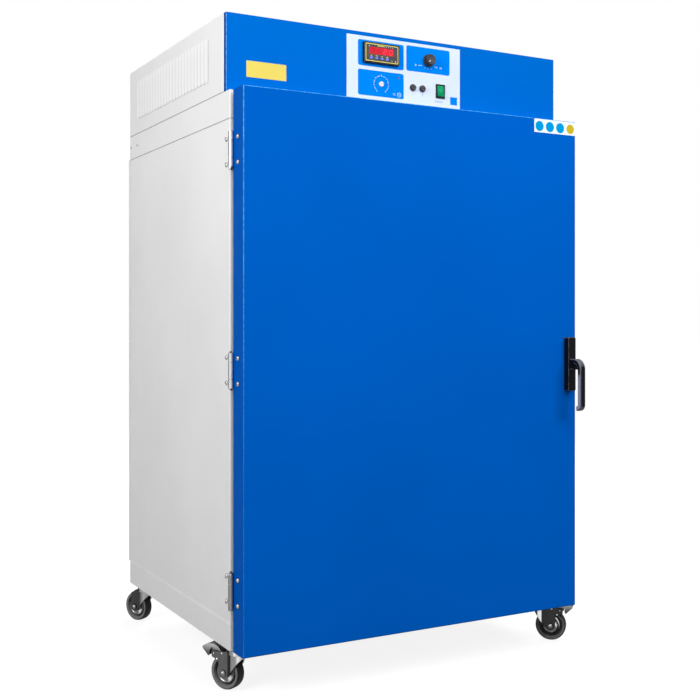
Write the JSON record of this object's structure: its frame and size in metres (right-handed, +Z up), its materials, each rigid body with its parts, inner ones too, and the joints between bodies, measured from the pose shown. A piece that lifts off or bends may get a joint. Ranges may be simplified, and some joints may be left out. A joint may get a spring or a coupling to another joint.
{
  "type": "laboratory drying and baking oven",
  "caption": "Tall forced-air laboratory oven: side-hinged insulated door, chamber with wire shelves, control box with dial and keys on top, swivel casters.",
  "frame": {"origin": "on the floor, under the middle of the overall width and depth", "axes": "+X to the right seen from the front, +Y to the back, +Z up; the door faces -Y"},
  "size_m": [1.0088, 0.9061, 1.5536],
  "materials": {
    "painted_grey": "fine texture powder coat",
    "painted_blue": "satin powder coat",
    "printed_film": "matt printed film",
    "black_plastic": "matt",
    "white_plastic": "matt",
    "blue_plastic": "satin",
    "green_lens": "translucent",
    "red_window": "tinted gloss",
    "galvanised": "galvanised",
    "zinc_plate": "bright zinc plated",
    "stainless": "brushed",
    "polished_steel": "polished",
    "bare_aluminium": "bare",
    "wool": "mineral wool",
    "seal_rubber": "silicone",
    "tyre": "rubber"
  },
  "bodies": {
    "cabinet": {"base_pan": "painted_grey", "side_panel_left": "painted_grey", "side_panel_right": "painted_grey", "upper_band": "painted_grey", "rear_cover": "painted_grey", "control_box": "painted_grey", "control_fascia": "painted_blue", "panel_overlay": "printed_film", "controller_case": "black_plastic", "controller_window": "red_window", "fuse_holders": "black_plastic", "rocker_bezel": "black_plastic", "speed_potentiometer": "galvanised", "power_relay": "bare_aluminium", "inner_chamber": "stainless", "chamber_insulation": "wool", "front_frame": "stainless", "shelf_rails": "stainless", "wire_shelves": "stainless", "air_baffle": "stainless", "heating_elements": "stainless", "fan_motor": "bare_aluminium", "temperature_probes": "stainless", "exhaust_flue": "stainless", "cable_gland": "black_plastic", "hinge_leaves_cabinet": "polished_steel", "hinge_pins": "polished_steel", "cabinet_screws": "polished_steel", "caster_plates": "galvanised"},
    "door": {"door_skin": "painted_blue", "door_liner": "stainless", "door_insulation": "wool", "door_gasket": "seal_rubber", "hinge_leaves_door": "polished_steel", "hinge_screws_door": "polished_steel", "handle_base": "black_plastic"},
    "handle": {"handle_lever": "black_plastic", "latch_spindle": "galvanised"},
    "speed_knob": {"speed_knob": "black_plastic"},
    "alarm_spindle": {"alarm_spindle": "white_plastic"},
    "rocker_button": {"rocker_button": "green_lens"},
    "fan": {"fan_impeller": "stainless"},
    "key_1": {"controller_key_1": "blue_plastic"},
    "key_2": {"controller_key_2": "blue_plastic"},
    "key_3": {"controller_key_3": "blue_plastic"},
    "key_4": {"controller_key_4": "blue_plastic"},
    "fork_front_left": {"caster_fork_front_left": "zinc_plate"},
    "wheel_front_left": {"caster_rim_front_left": "galvanised", "caster_tyre_front_left": "tyre"},
    "pedal_front_left": {"brake_pedal_front_left": "zinc_plate"},
    "fork_front_right": {"caster_fork_front_right": "zinc_plate"},
    "wheel_front_right": {"caster_rim_front_right": "galvanised", "caster_tyre_front_right": "tyre"},
    "pedal_front_right": {"brake_pedal_front_right": "zinc_plate"},
    "fork_rear_left": {"caster_fork_rear_left": "zinc_plate"},
    "wheel_rear_left": {"caster_rim_rear_left": "galvanised", "caster_tyre_rear_left": "tyre"},
    "fork_rear_right": {"caster_fork_rear_right": "zinc_plate"},
    "wheel_rear_right": {"caster_rim_rear_right": "galvanised", "caster_tyre_rear_right": "tyre"}
  },
  "joints": [
    {"name": "door_hinge", "type": "hinge", "parent": "cabinet", "child": "door", "pos_m": [-0.476, -0.335, 0.739], "axis": [0, 0, -1], "range_deg": [0, 170]},
    {"name": "handle_turn", "type": "hinge", "parent": "door", "child": "handle", "pos_m": [0.444, -0.41, 0.739], "axis": [0, 1, 0], "range_deg": [0, 90]},
    {"name": "speed_knob_turn", "type": "hinge", "parent": "cabinet", "child": "speed_knob", "pos_m": [0.072, -0.3008, 1.504], "axis": [0, -1, 0], "range_deg": [-180, 120]},
    {"name": "alarm_spindle_turn", "type": "hinge", "parent": "cabinet", "child": "alarm_spindle", "pos_m": [-0.065, -0.304, 1.4305], "axis": [0, -1, 0], "range_deg": [0, 270]},
    {"name": "rocker_tilt", "type": "hinge", "parent": "cabinet", "child": "rocker_button", "pos_m": [0.1075, -0.3, 1.4302], "axis": [1, 0, 0], "range_deg": [0, 22]},
    {"name": "fan_spin", "type": "hinge", "parent": "cabinet", "child": "fan", "pos_m": [0, 0.239, 0.7602], "axis": [0, -1, 0], "continuous": true},
    {"name": "key_1_press", "type": "slide", "parent": "cabinet", "child": "key_1", "axis": [0, 1, 0], "range_m": [0, 0.0008], "stiffness_N_per_m": 400, "springref_m": -0.0006},
    {"name": "key_2_press", "type": "slide", "parent": "cabinet", "child": "key_2", "axis": [0, 1, 0], "range_m": [0, 0.0008], "stiffness_N_per_m": 400, "springref_m": -0.0006},
    {"name": "key_3_press", "type": "slide", "parent": "cabinet", "child": "key_3", "axis": [0, 1, 0], "range_m": [0, 0.0008], "stiffness_N_per_m": 400, "springref_m": -0.0006},
    {"name": "key_4_press", "type": "slide", "parent": "cabinet", "child": "key_4", "axis": [0, 1, 0], "range_m": [0, 0.0008], "stiffness_N_per_m": 400, "springref_m": -0.0006},
    {"name": "swivel_front_left", "type": "hinge", "parent": "cabinet", "child": "fork_front_left", "pos_m": [-0.433, -0.284, 0.09], "axis": [0, 0, 1], "continuous": true},
    {"name": "axle_front_left", "type": "hinge", "parent": "fork_front_left", "child": "wheel_front_left", "pos_m": [-0.45, -0.25456, 0.04], "axis": [-0.866, -0.5, 0], "continuous": true},
    {"name": "brake_front_left", "type": "hinge", "parent": "fork_front_left", "child": "pedal_front_left", "pos_m": [-0.463, -0.23204, 0.082], "axis": [-0.866, -0.5, 0], "range_deg": [0, 12]},
    {"name": "swivel_front_right", "type": "hinge", "parent": "cabinet", "child": "fork_front_right", "pos_m": [0.433, -0.284, 0.09], "axis": [0, 0, 1], "continuous": true},
    {"name": "axle_front_right", "type": "hinge", "parent": "fork_front_right", "child": "wheel_front_right", "pos_m": [0.45662, -0.30846, 0.04], "axis": [0.7193, 0.6947, 0], "continuous": true},
    {"name": "brake_front_right", "type": "hinge", "parent": "fork_front_right", "child": "pedal_front_right", "pos_m": [0.47468, -0.32716, 0.082], "axis": [0.7193, 0.6947, 0], "range_deg": [0, 12]},
    {"name": "swivel_rear_left", "type": "hinge", "parent": "cabinet", "child": "fork_rear_left", "pos_m": [-0.433, 0.38, 0.09], "axis": [0, 0, 1], "continuous": true},
    {"name": "axle_rear_left", "type": "hinge", "parent": "fork_rear_left", "child": "wheel_rear_left", "pos_m": [-0.44896, 0.41002, 0.04], "axis": [-0.8829, -0.4695, 0], "continuous": true},
    {"name": "swivel_rear_right", "type": "hinge", "parent": "cabinet", "child": "fork_rear_right", "pos_m": [0.433, 0.38, 0.09], "axis": [0, 0, 1], "continuous": true},
    {"name": "axle_rear_right", "type": "hinge", "parent": "fork_rear_right", "child": "wheel_rear_right", "pos_m": [0.4418, 0.41284, 0.04], "axis": [-0.9659, 0.2588, 0], "continuous": true}
  ]
}
